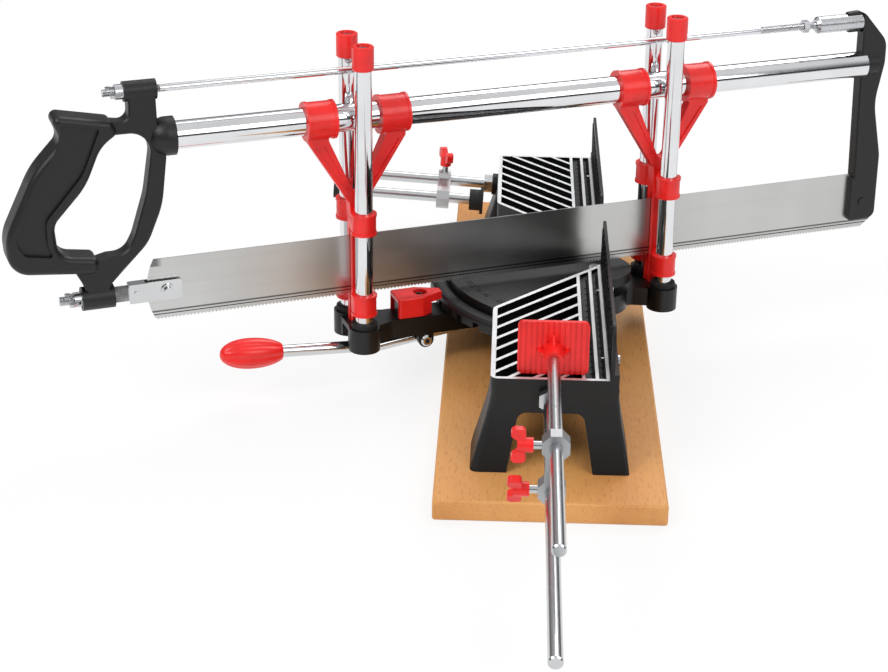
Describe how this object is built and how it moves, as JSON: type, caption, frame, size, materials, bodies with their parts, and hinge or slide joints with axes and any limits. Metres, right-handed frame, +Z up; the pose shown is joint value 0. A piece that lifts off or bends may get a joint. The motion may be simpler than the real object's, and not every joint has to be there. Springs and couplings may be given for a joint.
{
  "type": "manual mitre saw",
  "caption": "Bow saw running in two red guides on a swinging arm under a slotted ribbed table with fences, length stop and work clamp, on a wooden board.",
  "frame": {"origin": "underside of the board, below the pivot of the swinging arm", "axes": "+X along the fence, towards the length stop; +Y from the operator to the fence; +Z up"},
  "size_m": [0.786, 0.5999, 0.2498],
  "materials": {
    "painted_black": "gloss",
    "beech": "satin",
    "painted_fence": "satin",
    "zinc_steel": "satin",
    "chrome_steel": "polished",
    "spring_steel": "satin",
    "blade_steel": "brushed",
    "cast_zinc": "cast",
    "rubber_black": "matte",
    "plastic_black": "satin",
    "plastic_red": "gloss"
  },
  "bodies": {
    "base": {"base_board": "beech", "board_screws": "zinc_steel", "table_casting": "painted_black", "fence_near": "painted_fence", "fence_far": "painted_fence", "fence_screws": "zinc_steel", "pivot_bolt": "zinc_steel", "stop_rod_lower": "zinc_steel", "stop_rod_nut": "zinc_steel", "clamp_rod": "zinc_steel", "clamp_rod_nut": "zinc_steel"},
    "arm": {"swing_arm": "painted_black", "pivot_washer": "zinc_steel", "pivot_nut": "zinc_steel", "post_front_near": "chrome_steel", "post_front_far": "chrome_steel", "post_rear_near": "chrome_steel", "post_rear_far": "chrome_steel", "cap_front_near": "plastic_red", "cap_front_far": "plastic_red", "cap_rear_near": "plastic_red", "cap_rear_far": "plastic_red", "post_bumpers": "rubber_black", "post_screws": "zinc_steel", "lever_pin": "zinc_steel", "latch_spring": "spring_steel", "latch_peg": "zinc_steel"},
    "lever": {"lock_lever": "zinc_steel", "lever_grip": "plastic_red"},
    "latch": {"latch_button": "plastic_red"},
    "guide_a": {"guide_front": "plastic_red"},
    "guide_b": {"guide_rear": "plastic_red"},
    "saw": {"frame_tube": "chrome_steel", "handle": "plastic_black", "end_bracket": "plastic_black", "tension_rod": "chrome_steel", "rod_clevis": "zinc_steel", "clevis_pin": "zinc_steel", "rod_lock_nut": "zinc_steel", "blade_stud": "zinc_steel", "blade_holder": "zinc_steel", "stud_rivet": "zinc_steel", "front_blade_pin": "zinc_steel", "rear_blade_pin": "zinc_steel", "saw_blade": "blade_steel"},
    "rod_nut": {"rod_wing_nut": "zinc_steel"},
    "blade_nut": {"blade_wing_nut": "zinc_steel"},
    "stop_carriage": {"stop_bracket": "cast_zinc"},
    "stop_slide": {"stop_rod_upper": "zinc_steel", "stop_plate": "plastic_red"},
    "stop_knob_upper": {"stop_wing_upper": "plastic_red", "stop_stud_upper": "zinc_steel"},
    "stop_knob_lower": {"stop_wing_lower": "plastic_red", "stop_stud_lower": "zinc_steel"},
    "clamp_arm": {"clamp_bracket": "cast_zinc"},
    "clamp_knob_body": {"clamp_wing": "plastic_red", "clamp_stud": "zinc_steel"},
    "clamp_screw": {"clamp_spindle": "zinc_steel", "clamp_foot": "plastic_black", "clamp_knob": "plastic_black"}
  },
  "joints": [
    {"name": "swing", "type": "hinge", "parent": "base", "child": "arm", "pos_m": [0, 0, 0.045], "axis": [0, 0, 1], "range_deg": [-67.5, 22.5]},
    {"name": "lever_lift", "type": "hinge", "parent": "arm", "child": "lever", "pos_m": [0.0509, -0.12288, 0.0315], "axis": [-0.9239, -0.3827, 0], "range_deg": [0, 5]},
    {"name": "latch_draw", "type": "slide", "parent": "arm", "child": "latch", "axis": [0.3827, -0.9239, 0], "range_m": [0, 0.003], "stiffness_N_per_m": 800, "springref_m": -0.004, "deforming": ["latch_spring"]},
    {"name": "guide_front_rise", "type": "slide", "parent": "arm", "child": "guide_a", "axis": [0, 0, 1], "range_m": [0, 0.095]},
    {"name": "guide_rear_rise", "type": "slide", "parent": "arm", "child": "guide_b", "axis": [0, 0, 1], "range_m": [0, 0.095]},
    {"name": "saw_stroke", "type": "slide", "parent": "guide_a", "child": "saw", "axis": [-0.3827, 0.9239, 0], "range_m": [-0.12, 0.085]},
    {"name": "rod_nut_turn", "type": "hinge", "parent": "saw", "child": "rod_nut", "pos_m": [0.13011, -0.31412, 0.2293], "axis": [-0.3827, 0.9239, 0], "continuous": true},
    {"name": "blade_nut_turn", "type": "hinge", "parent": "saw", "child": "blade_nut", "pos_m": [0.14351, -0.34646, 0.091], "axis": [-0.3827, 0.9239, 0], "continuous": true},
    {"name": "stop_carriage_slide", "type": "slide", "parent": "base", "child": "stop_carriage", "axis": [1, 0, 0], "range_m": [-0.06, 0.165]},
    {"name": "stop_rod_slide", "type": "slide", "parent": "stop_carriage", "child": "stop_slide", "axis": [1, 0, 0], "range_m": [-0.07, 0.1]},
    {"name": "stop_screw_upper_turn", "type": "hinge", "parent": "stop_carriage", "child": "stop_knob_upper", "pos_m": [0.337, -0.0332, 0.0918], "axis": [0, -1, 0], "continuous": true},
    {"name": "stop_screw_lower_turn", "type": "hinge", "parent": "stop_carriage", "child": "stop_knob_lower", "pos_m": [0.337, -0.0348, 0.0635], "axis": [0, -1, 0], "continuous": true},
    {"name": "clamp_arm_turn", "type": "hinge", "parent": "base", "child": "clamp_arm", "pos_m": [-0.1975, -0.11572, 0.05817], "axis": [0, -0.9981, 0.061], "range_deg": [-15, 105]},
    {"name": "clamp_screw_turn", "type": "hinge", "parent": "clamp_arm", "child": "clamp_knob_body", "pos_m": [-0.1975, -0.11486, 0.07215], "axis": [0, 0.061, 0.9981], "continuous": true},
    {"name": "clamp_feed", "type": "slide", "parent": "clamp_arm", "child": "clamp_screw", "axis": [0, 0.9981, -0.061], "range_m": [-0.0155, 0]}
  ],
  "couplings": [
    {"joint": "guide_rear_rise", "follows": "guide_front_rise", "ratio": 1}
  ]
}
